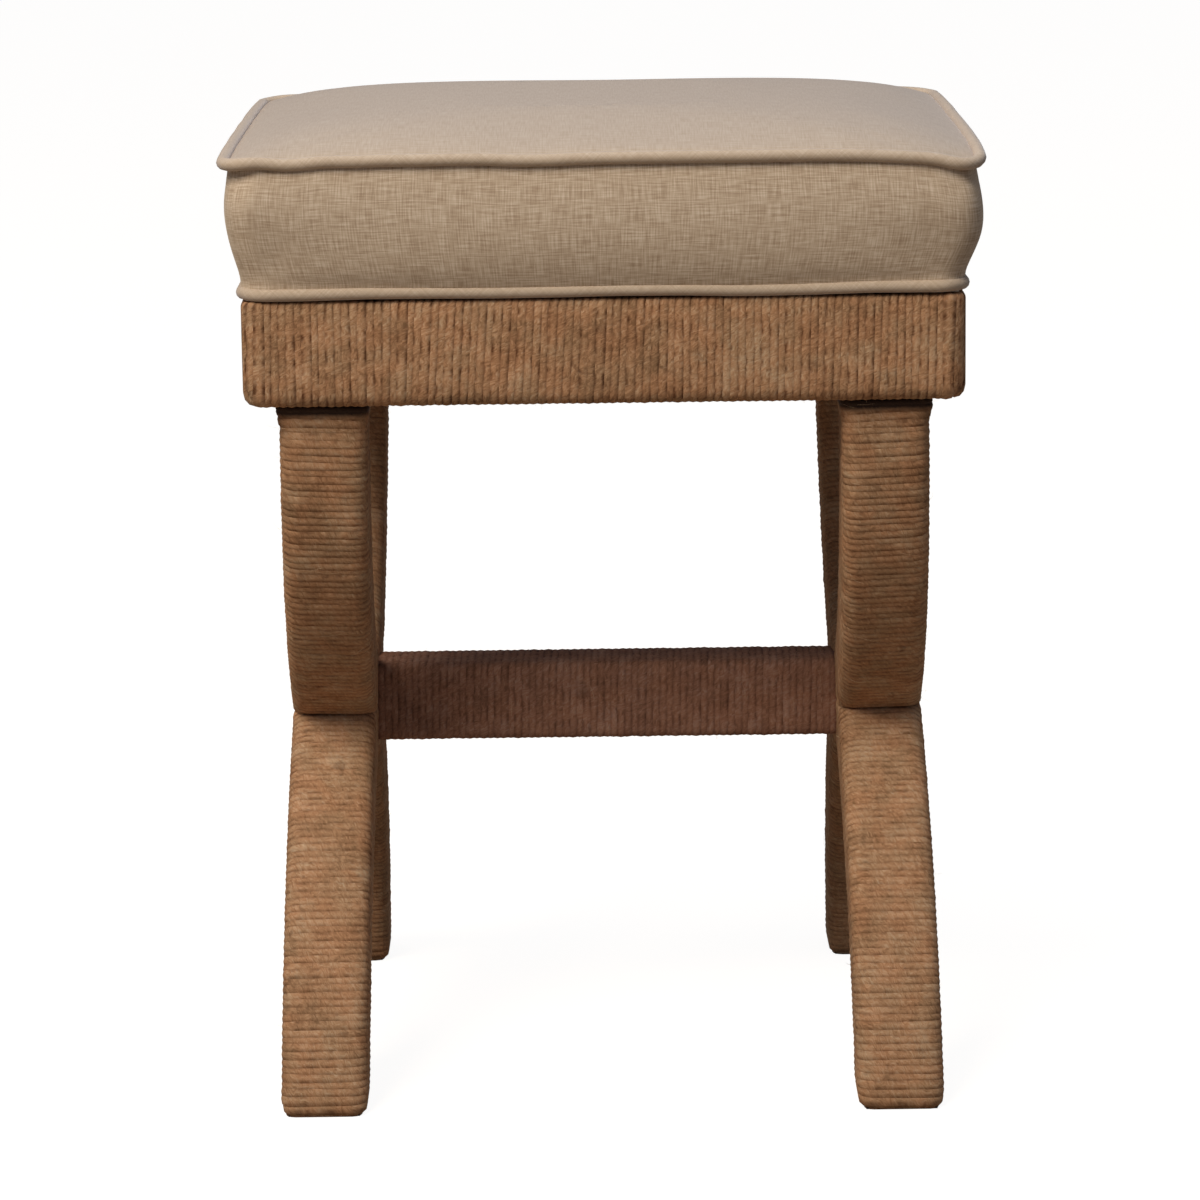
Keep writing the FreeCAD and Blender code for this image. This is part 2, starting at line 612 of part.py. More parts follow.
band_low, band_high = low_seam + piping_radius + slip / 2, high_seam - piping_radius - slip / 2
rise = band_high - band_low
profile = ((0, low_inset - 1.8), (0.2, low_inset + 0.6), (0.45, bulge - 1.6), (0.72, bulge),
           (1, high_inset - 2.6))
outer = [(band_low + rise * t, as_dim(out)) for t, out in profile]
spare = 0.5
inside = [(z + (spare if t == 1 else -spare if t == 0 else 0), out - cloth)
          for (z, out), (t, _) in zip(outer, profile)]
node(loft("boxing_band", outer, inside), "boxing_band")

panel_edge = high_inset - 2 * piping_radius - 0.2
crown_rows = ((-0.1, 0), (0.58, 24), (0.83, 53), (0.96, 84), (1, 114))
outer = [(high_seam + crown * t, panel_edge - away) for t, away in crown_rows]
inside = [(z - cloth - (spare if t < 0 else 0), out - cloth) for (z, out), (t, _) in zip(outer, crown_rows)]
node(loft("top_panel", outer, inside), "top_panel")

# The foam is a slab cut square, a little smaller than its cover.
foam_low = board_low + board_thick + slip
foam_high = high_seam - 2 * cloth
body = new_body("foam_core")
plan = sketch_on(body, "foam_plan", "XY_Plane", foam_low)
edge = cloth + slip - low_inset + 2
rectangle(plan, edge - half_w, half_w - edge, edge - half_d, half_d - edge, pad_corner)
pad = body.newObject("PartDesign::Pad", "foam_pad")
pad.Profile = plan
bind(pad, "Length", foam_high - foam_low)
node(body, "foam_core")

doc.recompute()

faults = [f"{o.Name}: {', '.join(o.State)}" for o in doc.Objects
          if "Invalid" in o.State or "Error" in o.State]
for label, obj in nodes.items():
    if obj.Shape.isNull() or not obj.Shape.isValid() or not obj.Shape.Solids:
        faults.append(f"{label}: no sound solid")
if faults:
    raise RuntimeError("; ".join(faults))

os.makedirs("parts", exist_ok=True)
for label, obj in nodes.items():
    obj.Shape.exportStep(f"parts/{label}.step")
    b = obj.Shape.BoundBox
    print(f"{label}: {len(obj.Shape.Solids)} solid(s), {obj.Shape.Volume / 1000:.1f} cm3, "
          f"x {b.XMin:.1f} {b.XMax:.1f}, y {b.YMin:.1f} {b.YMax:.1f}, z {b.ZMin:.1f} {b.ZMax:.1f}")
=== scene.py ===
import bpy
import math
import numpy as np
from mathutils import Matrix, Vector


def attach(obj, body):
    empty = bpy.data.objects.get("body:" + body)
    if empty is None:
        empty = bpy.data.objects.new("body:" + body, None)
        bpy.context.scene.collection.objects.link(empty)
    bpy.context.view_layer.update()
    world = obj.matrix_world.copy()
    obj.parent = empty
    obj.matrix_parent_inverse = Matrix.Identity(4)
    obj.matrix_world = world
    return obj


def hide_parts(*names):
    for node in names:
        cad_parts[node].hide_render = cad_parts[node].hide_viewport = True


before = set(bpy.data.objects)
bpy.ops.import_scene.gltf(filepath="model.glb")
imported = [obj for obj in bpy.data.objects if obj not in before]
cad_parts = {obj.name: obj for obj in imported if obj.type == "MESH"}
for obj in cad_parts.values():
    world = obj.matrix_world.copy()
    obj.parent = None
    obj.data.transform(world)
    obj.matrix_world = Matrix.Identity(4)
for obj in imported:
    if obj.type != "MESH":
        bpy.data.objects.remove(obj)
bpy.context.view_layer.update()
bpy.ops.object.select_all(action="DESELECT")

# Stool of twine-wound timber with a linen box cushion. Metres, front towards -Y.

MM = 0.001
rng = np.random.default_rng(41)


# Sizes

# Apron: half its width and depth, its rims, the thickness of a wound rail, and how far it is rounded in
# plan, at the lower rim and at the upper rim.
half_w, half_d = 181 * MM, 162 * MM
apron_low, apron_high = 366 * MM, 420 * MM
wall = 30 * MM
plan_corner, edge_corner, brow = 10 * MM, 7 * MM, 2.8 * MM

# X ends: height and angle of the crossing, lean of the arms at the floor, how far the leg tops stand in from
# the front, the legs' outer side, width, thickness and corners, and how far an end leans outwards.
cross = 184 * MM
tilt, foot_lean = math.radians(68), math.radians(10)
top_inset = 31 * MM
leg_out, leg_width, leg_thick = 167 * MM, 44.6 * MM, 44 * MM
leg_corner, toe_corner = 8 * MM, 7.5 * MM
splay = math.radians(1.1)

# Stretcher: half its section, half its length and its corners.
bar_half, bar_reach, bar_corner = 21 * MM, 122.2 * MM, 5 * MM

# Twine: its thickness, how far the middle of a strand lies inside the face of a winding, and how far apart
# its turns lie, closest on the legs and widest round the apron.
twine = 3.8 * MM
inside = twine / 2
apron_pitch, leg_pitch, bar_pitch = 3.95 * MM, 3.45 * MM, 3.68 * MM
# How unevenly it lies sideways and off the timber, and how its thickness varies.
side_sway, lift_sway, thick_sway = 0.24 * MM, 0.08 * MM, 0.03

# Cushion: its seams, the rise of its top panel before it swells, its corners, how far the panel and the
# underside stand out over the apron, its piping, and how far and for how many frames the cloth swells.
low_seam, high_seam, panel_rise = 423.8 * MM, 490.8 * MM, 10.8 * MM
pad_corner, panel_out, under_out = 15 * MM, 5 * MM, 0.5 * MM
piping_radius = 3.25 * MM
most_swell, swell_frames = 4 * MM, 20

# Lining under the seat.
lining_w, lining_d, lining_thick = 354.6 * MM, 316.6 * MM, 0.6 * MM
lining_level = 420.9 * MM


# Materials

def linear(hex_text):
    """An sRGB hex value as linear colour."""
    parts = [int(hex_text[i:i + 2], 16) / 255 for i in (1, 3, 5)]
    return [c / 12.92 if c <= 0.04045 else ((c + 0.055) / 1.055) ** 2.4 for c in parts] + [1.0]


def add(tree, kind, inputs=None, stops=(), **settings):
    """A node with its settings. Inputs go by socket name or number, and each is a value, an output or a
    node, whose first live output is linked. Stops are the places and colours of a colour ramp."""
    made = tree.nodes.new(kind)
    for key, value in settings.items():
        setattr(made, key, value)
    for socket, value in (inputs or {}).items():
        if isinstance(value, bpy.types.Node):
            value = next(output for output in value.outputs if output.enabled)
        if isinstance(value, bpy.types.NodeSocket):
            tree.links.new(value, made.inputs[socket])
        else:
            made.inputs[socket].default_value = value
    if stops:
        marks = made.color_ramp.elements
        while len(marks) < len(stops):
            marks.new(0.5)
        for mark, (place, colour) in zip(marks, stops):
            mark.position = place
            mark.color = linear(colour)
    return made


def blank(name):
    """A material with an empty tree, and that tree."""
    material = bpy.data.materials.new(name)
    material.use_nodes = True
    material.node_tree.nodes.clear()
    return material, material.node_tree


def surface(material, inputs):
    """Ends a material's tree with its shader and hands the material back."""
    tree = material.node_tree
    shader = add(tree, "ShaderNodeBsdfPrincipled", inputs)
    add(tree, "ShaderNodeOutputMaterial", {"Surface": shader})
    return material


def jute_twine(name, edge, shade, mottle, tints_and_shade, shadow_band):
    """Jute twine wound tight: matt brown strands, mottled along a slanting lay, with shaded gaps that open
    and close between them, tone and warmth drifting over the piece, a few dark knots. Edge is where round
    the strand the shade of a gap is full, shade its least and greatest depth, mottle how much the flecks and
    streaks show, tints_and_shade the tints of its greyer and redder stretches, which for a piece in shade
    also darken it all over as painted shade, and shadow_band the heights between which the twine is darkened
    as painted shadow."""
    material, tree = blank(name)
    places = add(tree, "ShaderNodeTexCoord")
    place = places.outputs["Object"]
    split = add(tree, "ShaderNodeSeparateXYZ", {0: places.outputs["UV"]})
    along, around = split.outputs["X"], split.outputs["Y"]
    # Three plies go once round in 16 mm; their lay wavers over 9 mm, as in hand-spun twine.
    waver = add(tree, "ShaderNodeTexNoise", {"W": along, "Scale": 1 / (9 * MM), "Detail": 2.0},
                noise_dimensions="1D")
    waver = add(tree, "ShaderNodeMath", {0: waver, 1: 2.4}, operation="MULTIPLY")
    turn = add(tree, "ShaderNodeMath", {0: along, 1: 1 / (5.4 * MM), 2: waver}, operation="MULTIPLY_ADD")
    lay = add(tree, "ShaderNodeMath", {0: around, 1: -3.0, 2: turn}, operation="MULTIPLY_ADD")
    ply = add(tree, "ShaderNodeMath", {0: lay, 1: 0.5}, operation="PINGPONG")
    # Mottling follows the lay, 1.5 mm wide and 5 mm long, coarser than single fibres so that it shows.
    lay_map = add(tree, "ShaderNodeCombineXYZ", {"X": lay, "Y": along})
    fleck = add(tree, "ShaderNodeVectorMath", {0: lay_map, 1: (2.6, 1 / (5 * MM), 1.0)},
                operation="MULTIPLY")
    fleck = add(tree, "ShaderNodeTexNoise", {"Vector": fleck, "Scale": 1.0, "Detail": 4.0,
                                             "Roughness": 0.65}, noise_dimensions="2D")
    # Fibres are short streaks along the lay, drawn 0.6 mm wide so that they show.
    streak = add(tree, "ShaderNodeVectorMath", {0: lay_map, 1: (7.0, 1 / (2.4 * MM), 1.0)},
                 operation="MULTIPLY")
    streak = add(tree, "ShaderNodeTexNoise", {"Vector": streak, "Scale": 1.0, "Detail": 2.0},
                 noise_dimensions="2D")
    # Tone drifts over 25 mm of the piece and differs a little from strand to strand.
    drift = add(tree, "ShaderNodeTexNoise", {"Vector": place, "Scale": 1 / (25 * MM), "Detail": 2.0})
    strand = add(tree, "ShaderNodeTexNoise", {"W": along, "Scale": 1 / (30 * MM), "Detail": 2.0},
                 noise_dimensions="1D")
    # The ply term makes the tone lighter and darker in turn across the plies: painted highlight on their
    # crests and painted shade in the valleys between.
    tone = 0.25 - 0.45 * mottle
    for part, weight in ((streak, 0.42 * mottle), (fleck, 0.48 * mottle), (drift, 0.25), (strand, 0.25),
                         (ply, 0.1)):
        tone = add(tree, "ShaderNodeMath", {0: part, 1: weight, 2: tone}, operation="MULTIPLY_ADD")
    body = add(tree, "ShaderNodeValToRGB", {"Fac": tone},
               [(0.36, "#856347"), (0.53, "#AE8563"), (0.72, "#C8A888")])
    # Some stretches, 13 mm long, are redder, some greyer.
    warmth = add(tree, "ShaderNodeTexNoise", {"Vector": place, "Scale": 1 / (13 * MM), "Detail": 2.0})
    warmth = add(tree, "ShaderNodeValToRGB", {"Fac": warmth}, [(0.38, tints_and_shade[0]), (0.62, tints_and_shade[1])])
    # For the stretcher these tints are darker and cooler all over: painted shade.
    body = add(tree, "ShaderNodeMix", {"Factor": 1.0, "A": body, "B": warmth}, data_type="RGBA",
               blend_type="MULTIPLY")
    # Gaps between the strands are in shade, ragged at the edge, deep for 8 mm or so and then nearly closed.
    off = add(tree, "ShaderNodeMath", {0: around, 1: 0.5}, operation="PINGPONG")
    ragged = add(tree, "ShaderNodeMath", {0: fleck, 1: 0.12, 2: off}, operation="MULTIPLY_ADD")
    gap = add(tree, "ShaderNodeValToRGB", {"Fac": ragged}, [(edge - 0.05, "#FFFFFF"), (edge, "#80695A")])
    stretch = add(tree, "ShaderNodeTexNoise", {"W": along, "Scale": 1 / (8 * MM), "Detail": 2.0},
                  noise_dimensions="1D")
    depth = add(tree, "ShaderNodeMapRange", {"Value": stretch, "From Min": 0.35, "From Max": 0.65,
                                             "To Min": shade[0], "To Max": shade[1]})
    body = add(tree, "ShaderNodeMix", {"Factor": depth, "A": body, "B": gap}, data_type="RGBA",
               blend_type="MULTIPLY")
    # Knots and bark are blots about 4 mm across.
    knot = add(tree, "ShaderNodeTexNoise", {"Vector": place, "Scale": 1 / (9 * MM), "Detail": 2.0,
                                            "Distortion": 0.8})
    knot = add(tree, "ShaderNodeValToRGB", {"Fac": knot}, [(0.665, "#000000"), (0.745, "#A4A4A4")])
    body = add(tree, "ShaderNodeMix", {"Factor": knot, "A": body, "B": linear("#4A2E1E")}, data_type="RGBA")
    # The last turns under the apron are darkened to a ragged line: painted shadow of the apron.
    level = add(tree, "ShaderNodeSeparateXYZ", {0: place}).outputs["Z"]
    level = add(tree, "ShaderNodeMath", {0: fleck, 1: 2 * MM, 2: level}, operation="MULTIPLY_ADD")
    shadowed = add(tree, "ShaderNodeMapRange", {"Value": level, "From Min": shadow_band[0], "From Max": shadow_band[1],
                                             "To Max": 0.9})
    body = add(tree, "ShaderNodeMix", {"Factor": shadowed, "A": body, "B": linear("#241A18")}, data_type="RGBA")
    height = add(tree, "ShaderNodeMath", {0: ply, 1: 0.6, 2: fleck}, operation="MULTIPLY_ADD")
    height = add(tree, "ShaderNodeMath", {0: streak, 1: 0.5, 2: height}, operation="MULTIPLY_ADD")
    bump = add(tree, "ShaderNodeBump", {"Height": height, "Distance": 0.35 * MM, "Strength": 0.5})
    return surface(material, {"Base Color": body, "Normal": bump, "Roughness": 0.9,
                              "Specular IOR Level": 0.1})


def linen(name, slant, shades, nap_and_light_tint, girth=1.0):
    """Plain-woven linen: fine uneven warp and weft threads, matt, with a pale nap. Slant is how the cloth is
    turned on the piece, and the nap's tint also paints in the colour of the light that falls on it."""
    material, tree = blank(name)
    uv = add(tree, "ShaderNodeTexCoord").outputs["UV"]
    # Round a cord the map holds turns, so girth brings it to metres before the cloth is set on the slant.
    uv = add(tree, "ShaderNodeMapping", {"Vector": uv, "Scale": (1.0, girth, 1.0),
                                         "Rotation": (0.0, 0.0, slant)})
    # Threads 0.72 mm apart, a little coarser than real ones so that they show, with slubs 12 mm long.
    fine, long = 1 / (0.72 * MM), 1 / (12 * MM)
    warp = add(tree, "ShaderNodeVectorMath", {0: uv, 1: (fine, long, 1.0)}, operation="MULTIPLY")
    warp = add(tree, "ShaderNodeTexNoise", {"Vector": warp, "Scale": 1.0, "Detail": 2.0},
               noise_dimensions="2D")
    weft = add(tree, "ShaderNodeVectorMath", {0: uv, 1: (long, fine, 1.0)}, operation="MULTIPLY")
    weft = add(tree, "ShaderNodeTexNoise", {"Vector": weft, "Scale": 1.0, "Detail": 2.0},
               noise_dimensions="2D")
    threads = add(tree, "ShaderNodeMath", {0: warp, 1: weft}, operation="ADD")
    threads = add(tree, "ShaderNodeMath", {0: threads, 1: 0.5}, operation="MULTIPLY")
    body = add(tree, "ShaderNodeValToRGB", {"Fac": threads}, list(zip((0.3, 0.5, 0.7), shades)))
    bump = add(tree, "ShaderNodeBump", {"Height": threads, "Distance": 0.2 * MM, "Strength": 0.4})
    # The nap is pale and shows where the cloth is seen at a low slant, as over the top.
    return surface(material, {"Base Color": body, "Normal": bump, "Roughness": 0.9,
                              "Specular IOR Level": 0.15, "Sheen Weight": 0.3, "Sheen Roughness": 0.45,
                              "Sheen Tint": linear(nap_and_light_tint)})


def shade_dark_pine(name, long_axis):
    """Planed pine coloured dark as painted shade, so that it shows only as shade where the twine ends: soft
    stripes of growth rings along the piece, low gloss."""
    material, tree = blank(name)
    place = add(tree, "ShaderNodeTexCoord").outputs["Object"]
    # Rings 5 mm apart, stretched twenty times along the timber.
    stretch = [1 / (5 * MM)] * 3
    stretch["XYZ".index(long_axis)] = 1 / (100 * MM)
    grain = add(tree, "ShaderNodeVectorMath", {0: place, 1: stretch}, operation="MULTIPLY")
    grain = add(tree, "ShaderNodeTexNoise", {"Vector": grain, "Scale": 1.0, "Detail": 4.0,
                                             "Distortion": 0.6})
    body = add(tree, "ShaderNodeValToRGB", {"Fac": grain},
               [(0.3, "#2E2019"), (0.55, "#433025"), (0.75, "#543D2F")])
    rough = add(tree, "ShaderNodeMapRange", {"Value": grain, "To Min": 0.7, "To Max": 0.85})
    bump = add(tree, "ShaderNodeBump", {"Height": grain, "Distance": 0.2 * MM, "Strength": 0.3})
    return surface(material, {"Base Color": body, "Normal": bump, "Roughness": rough,
                              "Specular IOR Level": 0.15})


def birch_plywood():
    """Birch plywood: pale even faces, thin dark glue lines every 3 mm on the edges."""
    material, tree = blank("birch_plywood")
    place = add(tree, "ShaderNodeTexCoord").outputs["Object"]
    level = add(tree, "ShaderNodeSeparateXYZ", {0: place}).outputs["Z"]
    layer = add(tree, "ShaderNodeMath", {0: level, 1: 1 / (1.5 * MM)}, operation="MULTIPLY")
    layer = add(tree, "ShaderNodeMath", {0: layer, 1: 1.0}, operation="PINGPONG")
    # Grain about 3 mm wide and 80 mm long, given as stripes to the metre.
    grain = add(tree, "ShaderNodeVectorMath", {0: place, 1: (12.0, 300.0, 12.0)}, operation="MULTIPLY")
    grain = add(tree, "ShaderNodeTexNoise", {"Vector": grain, "Scale": 1.0, "Detail": 3.0})
    body = add(tree, "ShaderNodeValToRGB", {"Fac": grain}, [(0.35, "#C9A97A"), (0.65, "#DEC79E")])
    lines = add(tree, "ShaderNodeValToRGB", {"Fac": layer}, [(0.05, "#8A6A48"), (0.2, "#FFFFFF")])
    body = add(tree, "ShaderNodeMix", {"Factor": 0.7, "A": body, "B": lines}, data_type="RGBA",
               blend_type="MULTIPLY")
    rough = add(tree, "ShaderNodeMapRange", {"Value": grain, "To Min": 0.55, "To Max": 0.7})
    return surface(material, {"Base Color": body, "Roughness": rough})


def skinned_steel(name, shades, gloss):
    """Steel under a thin skin of zinc or black oxide: slightly cloudy over 3 mm, half bright. Gloss is its
    least and greatest roughness."""
    material, tree = blank(name)
    place = add(tree, "ShaderNodeTexCoord").outputs["Object"]
    cloud = add(tree, "ShaderNodeTexNoise", {"Vector": place, "Scale": 1 / (3 * MM), "Detail": 3.0})
    body = add(tree, "ShaderNodeValToRGB", {"Fac": cloud}, list(zip((0.35, 0.65), shades)))
    rough = add(tree, "ShaderNodeMapRange", {"Value": cloud, "To Min": gloss[0], "To Max": gloss[1]})
    return surface(material, {"Base Color": body, "Roughness": rough, "Metallic": 1.0})


def cotton_lining():
    """Thin cotton lining under the seat: unbleached, plain weave, matt."""
    material, tree = blank("unbleached_cotton_lining")
    place = add(tree, "ShaderNodeTexCoord").outputs["Object"]
    # Threads 1.2 mm apart, drawn coarser than real ones so that they show.
    fine, long = 1 / (1.2 * MM), 1 / (20 * MM)
    warp = add(tree, "ShaderNodeVectorMath", {0: place, 1: (fine, long, 1.0)}, operation="MULTIPLY")
    warp = add(tree, "ShaderNodeTexNoise", {"Vector": warp, "Scale": 1.0})
    weft = add(tree, "ShaderNodeVectorMath", {0: place, 1: (long, fine, 1.0)}, operation="MULTIPLY")
    weft = add(tree, "ShaderNodeTexNoise", {"Vector": weft, "Scale": 1.0})
    threads = add(tree, "ShaderNodeMath", {0: warp, 1: weft}, operation="MULTIPLY")
    body = add(tree, "ShaderNodeValToRGB", {"Fac": threads}, [(0.12, "#A89C88"), (0.36, "#CFC5B2")])
    bump = add(tree, "ShaderNodeBump", {"Height": threads, "Distance": 0.2 * MM, "Strength": 0.5})
    return surface(material, {"Base Color": body, "Normal": bump, "Roughness": 0.92})


def jute_hair():
    """Single jute hairs: pale straw, slightly shiny, their tone drifting over 20 mm."""
    material, tree = blank("jute_hair")
    place = add(tree, "ShaderNodeTexCoord").outputs["Object"]
    cloud = add(tree, "ShaderNodeTexNoise", {"Vector": place, "Scale": 1 / (20 * MM)})
    body = add(tree, "ShaderNodeValToRGB", {"Fac": cloud}, [(0.35, "#B08A62"), (0.65, "#D9BE98")])
    return surface(material, {"Base Color": body, "Roughness": 0.6})


# Heights of the painted shadow band: just under the apron, or above the whole stool for twine that has none.
apron_shadow_band, no_shadow_band = (360.3 * MM, 363.2 * MM), (9.0, 9.1)
plain_wash = ("#F7F8F4", "#FFF5EC")
rail_twine = jute_twine("jute_twine_round_rails", 0.15, (0.0, 0.88), 1.0, plain_wash, no_shadow_band)
leg_twine = jute_twine("jute_twine_round_legs", 0.135, (0.02, 0.54), 0.76, plain_wash, apron_shadow_band)
# The stretcher's twine is darker and cooler all over: painted shade under the seat.
shaded_wash = ("#D8CCDA", "#DFD0DA")
bar_twine = jute_twine("jute_twine_round_stretcher", 0.135, (0.05, 0.65), 0.76, shaded_wash, no_shadow_band)
hair_finish = jute_hair()
# The band's shades are lighter than the top's, painted light on the front of the cushion, and its nap tint
# is warm, painted warm light thrown up from the twine below.
band_finish = linen("slub_linen_band", 0.0, ("#A0876E", "#BCA58B", "#D4C0A8"), "#F4E4CC")
# The top is pressed smoother than the band, so its threads show less; its nap tint is cool, painted cool
# light from above.
top_finish = linen("slub_linen_top", 0.0, ("#A69179", "#B19C86", "#BAA892"), "#EEF0FA")
bias_finish = linen("slub_linen_bias", math.pi / 4, ("#AC967E", "#B7A189", "#C1AD96"), "#EEF0FA",
                    2 * math.pi * piping_radius)
pine_x, pine_y, pine_z = (shade_dark_pine(f"stained_pine_along_{axis.lower()}", axis) for axis in "XYZ")
ply_finish = birch_plywood()
zinc_finish = skinned_steel("zinc_plated_steel", ("#A9ABAC", "#C9CAC8"), (0.28, 0.45))
# The bolts are black, so that none glints in the pinhole where four windings meet.
black_finish = skinned_steel("black_oxide_steel", ("#1D1B1A", "#2A2725"), (0.5, 0.65))
lining_finish = cotton_lining()


# Shared shaping

def piece_of(name, verts, faces, uv=None):
    """A new piece with a UV map, filled in where uv is given."""
    mesh = bpy.data.meshes.new(name)
    mesh.from_pydata(verts, [], faces)
    layer = mesh.uv_layers.new(name="UVMap")
    if uv is not None:
        layer.data.foreach_set("uv", uv.astype(np.float32).ravel())
    mesh.update()
    piece = bpy.data.objects.new(name, mesh)
    bpy.context.collection.objects.link(piece)
    return piece


def tube(name, path, normals, radius, sides, closed=False, broad=1.0, across=None):
    """A cord along a path, broad times as wide as thick; its UV map holds length along and turn around.
    Normals give its thin way and across its broad way, which is worked out for a closed cord."""
    count = len(path)
    radius = np.broadcast_to(radius, (count,))
    out = normals
    if across is None:
        ahead = np.roll(path, -1, 0) - np.roll(path, 1, 0)
        ahead /= np.linalg.norm(ahead, axis=1)[:, None]
        out = normals - (normals * ahead).sum(1)[:, None] * ahead
        out /= np.linalg.norm(out, axis=1)[:, None]
        across = np.cross(ahead, out)
    across = across * np.broadcast_to(broad, (count,))[:, None]
    angle = 2 * math.pi * np.arange(sides) / sides
    ring = np.cos(angle)[None, :, None] * out[:, None] + np.sin(angle)[None, :, None] * across[:, None]
    verts = (path[:, None] + ring * radius[:, None, None]).reshape(-1, 3)
    # What would reach below the floor is pressed flat on it.
    verts[:, 2] = np.maximum(verts[:, 2], 0.0)
    steps = np.linalg.norm(np.diff(path, axis=0, append=path[:1] if closed else path[-1:]), axis=1)
    length = np.concatenate([[0.0], np.cumsum(steps)])
    rows = count if closed else count - 1
    row, spot = (grid.ravel() for grid in np.meshgrid(np.arange(rows), np.arange(sides), indexing="ij"))
    here, after = row * sides, (row + 1) % count * sides
    beside = (spot + 1) % sides
    faces = np.stack([after + spot, after + beside, here + beside, here + spot], 1).tolist()
    near, far = length[row], length[row + 1]
    left, right = spot / sides, (spot + 1) / sides
    corners = ((far, left), (far, right), (near, right), (near, left))
    uv = np.stack([np.stack(corner, 1) for corner in corners], 1).reshape(-1, 2)
    if not closed:
        faces.append(list(range(sides)))
        faces.append(list(range(len(verts) - sides, len(verts)))[::-1])
        uv = np.concatenate([uv, np.zeros((sides, 2)), np.full((sides, 2), length[-1])])
    piece = piece_of(name, verts.tolist(), faces, uv)
    piece.data.shade_smooth()
    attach(piece, "root")
    return piece


def wander(count, step, size):
    """Smooth seeded noise along a path: a new value every step points, of this size."""
    knots = rng.normal(0.0, size, count // step + 3)
    return np.interp(np.arange(count) / step, np.arange(len(knots)), knots)


# Wound twine

strands = []


def wound(name, station, finish, flat, turns, long_points, short_points, settle=None):
    """One unbroken twine round a member, pressed so that it reaches flat to each side. station(t) gives, for
    turn numbers t, the middle, the two directions of the turn across the member, the direction that the
    member faces along the first, how far the member reaches each way along the two, and the corner radii at
    (+1, +2), (-1, +2), (-1, -2) and (+1, -2); settle moves the finished turns into place and says how far
    each point is pressed, 0 to 1."""
    # One turn: rounded corners with points along the sides between them.
    loop = []
    for quarter, count in enumerate((long_points, short_points, long_points, short_points)):
        loop += [(quarter, angle, 0.0) for angle in np.linspace(0, math.pi / 2, 4)]
        loop += [(quarter, math.pi / 2, (k + 1) / (count + 1)) for k in range(count)]
    # The twine starts and ends at the far corner, out of sight.
    half = len(loop) // 2
    quarter, angle, share = (np.array(column) for column in zip(*loop[half:], *loop[:half]))
    point = np.arange(int(turns * len(loop)))
    in_loop = point % len(loop)
    quarter, angle, share = quarter[in_loop], angle[in_loop], share[in_loop]
    t = point / len(loop)
    middle, one, two, face, low_one, high_one, low_two, high_two, corners = station(t)
    # A corner is flattened where the member is too thin for its radius.
    corners = np.stack([np.broadcast_to(corner, len(t)) for corner in corners])
    bend_one = np.minimum(corners, (high_one - low_one) / 2 * 0.98)
    bend_two = np.minimum(corners, (high_two - low_two) / 2 * 0.98)
    mid_one = np.where([[True], [False], [False], [True]], high_one - bend_one, low_one + bend_one)
    mid_two = np.where([[True], [True], [False], [False]], high_two - bend_two, low_two + bend_two)
    after = (quarter + 1) % 4

    def reach(mid, bend, lean):
        """How far each point lies along one direction, between its corner and the next."""
        here = mid[quarter, point] + bend[quarter, point] * lean
        there = mid[after, point] + bend[after, point] * lean
        return here * (1 - share) + there * share

    facing = quarter * math.pi / 2 + angle
    lean_one, lean_two = np.cos(facing), np.sin(facing)
    normal = face * lean_one[:, None] + two * lean_two[:, None]
    path = middle + one * reach(mid_one, bend_one, lean_one)[:, None]
    path = path + two * reach(mid_two, bend_two, lean_two)[:, None]
    side = np.cross(face, two)
    path = path + side * wander(len(t), 5, side_sway)[:, None]
    path = path + normal * wander(len(t), 7, lift_sway)[:, None]
    pressed = 1.0
    if settle:
        path, normal, side, pressed = settle(path, normal, side)
    thick = twine / 2 * (1 + wander(len(t), 9, thick_sway))
    piece = tube(name, path, normal, thick, 8, broad=1 + (flat / inside - 1) * pressed, across=-side)
    piece.data.materials.append(finish)
    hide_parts(name)
    strands.append((path, normal))


def wind_rail(name, half_length, face_half, along, out):
    """A rail's twine: strands stand upright on the outer face and turn round the plan corners as far as the
    mitres. The rail runs half_length each way, and its outer face stands face_half from the middle."""
    along, out = np.array(along, float), np.array(out, float)
    bend = plan_corner - inside
    straight = half_length - plan_corner
    reach = straight + bend * math.pi / 4

    def station(t):
        s = t * apron_pitch - reach
        swing = np.sign(s) * np.clip(np.abs(s) - straight, 0, None) / bend
        x = np.clip(s, -straight, straight)
        one = out * np.cos(swing)[:, None] + along * np.sin(swing)[:, None]
        two = np.broadcast_to((0.0, 0.0, 1.0), (len(t), 3))
        middle = along * x[:, None] + out * (face_half - plan_corner)
        # The far side of a turn stops at the rail's inner face or at the mitre.
        back = np.maximum(plan_corner - wall + inside, np.abs(x) - straight + inside * 0.4)
        flat = np.ones(len(t))
        # The lower rim is drawn up 4 mm round the plan corners.
        rim = apron_low + inside + 4 * MM * (np.abs(swing) / (math.pi / 4)) ** 1.6
        under, over = edge_corner - inside, brow - inside
        return (middle, one, two, one, back, flat * bend, rim, flat * (apron_high - inside),
                (over, over, under, under))

    def lean(path, normal, side):
        """The hand that wound the twine let it lean a little one way, then the other."""
        place = path @ along
        slope = np.interp(place, np.linspace(-straight, straight, 9), np.append(rng.normal(0, 0.9, 8), 0))
        slope = slope * np.clip((straight - np.abs(place)) / (30 * MM), 0, 1)
        middle, half_height = (apron_low + apron_high) / 2, (apron_high - apron_low) / 2
        shift = slope * (path[:, 2] - middle) / half_height * MM
        return path + along * shift[:, None], normal, side, 1.0

    wound(name, station, rail_twine, 1.03 * apron_pitch, 2 * reach / apron_pitch, 1, 4, lean)


